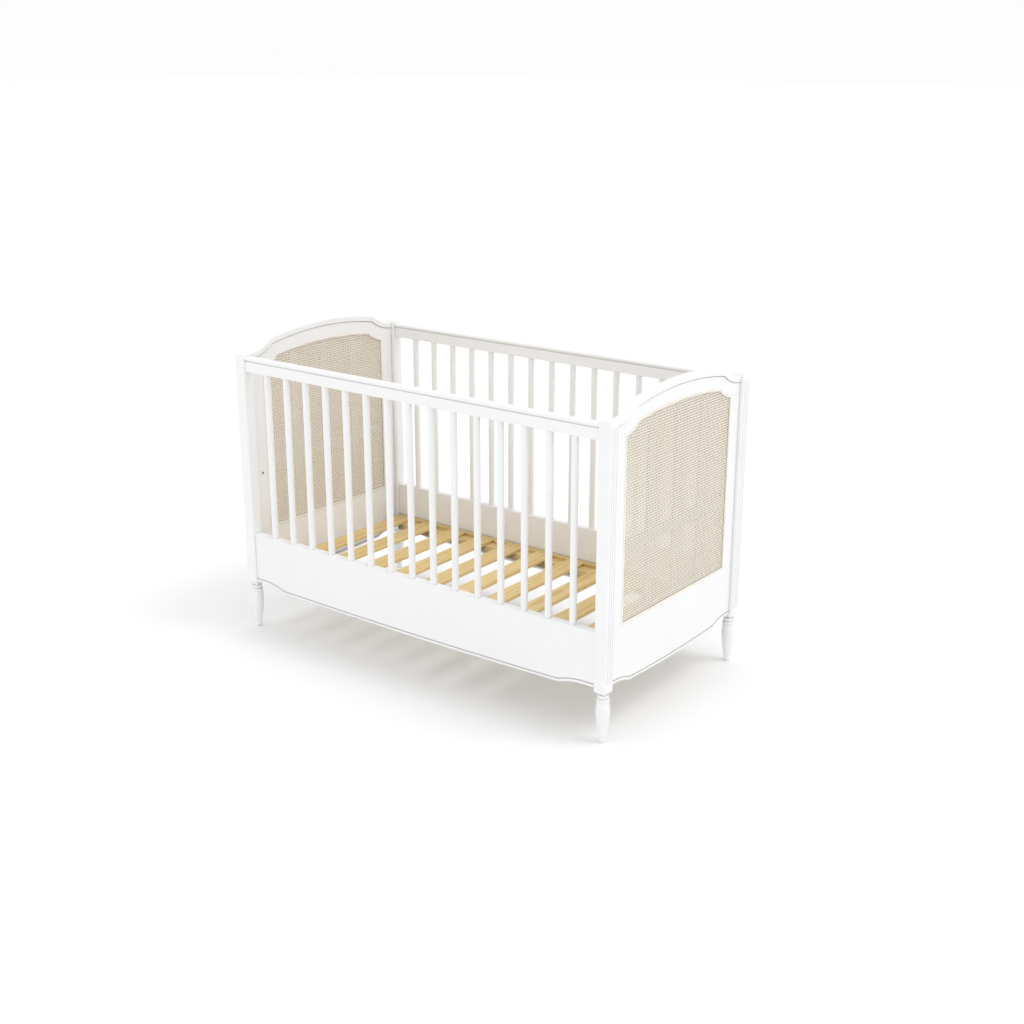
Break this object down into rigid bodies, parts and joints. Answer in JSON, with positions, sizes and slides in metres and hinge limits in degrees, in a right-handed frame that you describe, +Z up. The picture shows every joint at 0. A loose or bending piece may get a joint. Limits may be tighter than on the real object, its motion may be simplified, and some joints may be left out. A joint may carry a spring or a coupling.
{
  "type": "baby crib",
  "caption": "White wooden baby crib with barred sides, arched cane-panelled ends, turned legs and a slatted base that lifts to a higher setting.",
  "frame": {"origin": "centre of the crib's footprint, on the floor", "axes": "+Z up, X along the crib between its arched ends, -Y towards the front side"},
  "size_m": [1.462, 0.762, 1.007],
  "materials": {
    "white_paint": "satin white lacquer on solid wood",
    "rattan": "matt natural woven cane",
    "beading": "matt natural cane strip",
    "pine": "satin clear-varnished pine",
    "beech": "plain fluted beech dowel",
    "steel": "bright zinc-plated steel"
  },
  "bodies": {
    "frame": {"apron_back": "white_paint", "apron_front": "white_paint", "bars_back": "white_paint", "bars_front": "white_paint", "cam_locks": "steel", "cam_studs": "steel", "crest_rail_left": "white_paint", "crest_rail_right": "white_paint", "cross_rail_left": "white_paint", "cross_rail_right": "white_paint", "end_dowels": "beech", "inner_beading_left": "beading", "inner_beading_right": "beading", "inner_rattan_left": "rattan", "inner_rattan_right": "rattan", "leg_back_left": "white_paint", "leg_back_right": "white_paint", "leg_front_left": "white_paint", "leg_front_right": "white_paint", "leg_studs": "steel", "lower_panel_left": "white_paint", "lower_panel_right": "white_paint", "outer_beading_left": "beading", "outer_beading_right": "beading", "outer_rattan_left": "rattan", "outer_rattan_right": "rattan", "post_back_left": "white_paint", "post_back_right": "white_paint", "post_front_left": "white_paint", "post_front_right": "white_paint", "side_dowels": "beech", "stile_back_left": "white_paint", "stile_back_right": "white_paint", "stile_front_left": "white_paint", "stile_front_right": "white_paint", "support_inserts": "steel", "support_studs": "steel", "top_rail_back": "white_paint", "top_rail_front": "white_paint", "window_laths_left": "white_paint", "window_laths_right": "white_paint"},
    "slatted_base": {"base_hooks": "steel", "base_rail_back": "pine", "base_rail_front": "pine", "hook_screws": "steel", "slat_01": "pine", "slat_02": "pine", "slat_03": "pine", "slat_04": "pine", "slat_05": "pine", "slat_06": "pine", "slat_07": "pine", "slat_08": "pine", "slat_09": "pine", "slat_10": "pine", "slat_11": "pine", "slat_screws": "steel"}
  },
  "joints": [
    {"name": "base_lift", "type": "slide", "parent": "frame", "child": "slatted_base", "axis": [0, 0, 1], "range_m": [0, 0.347]}
  ]
}
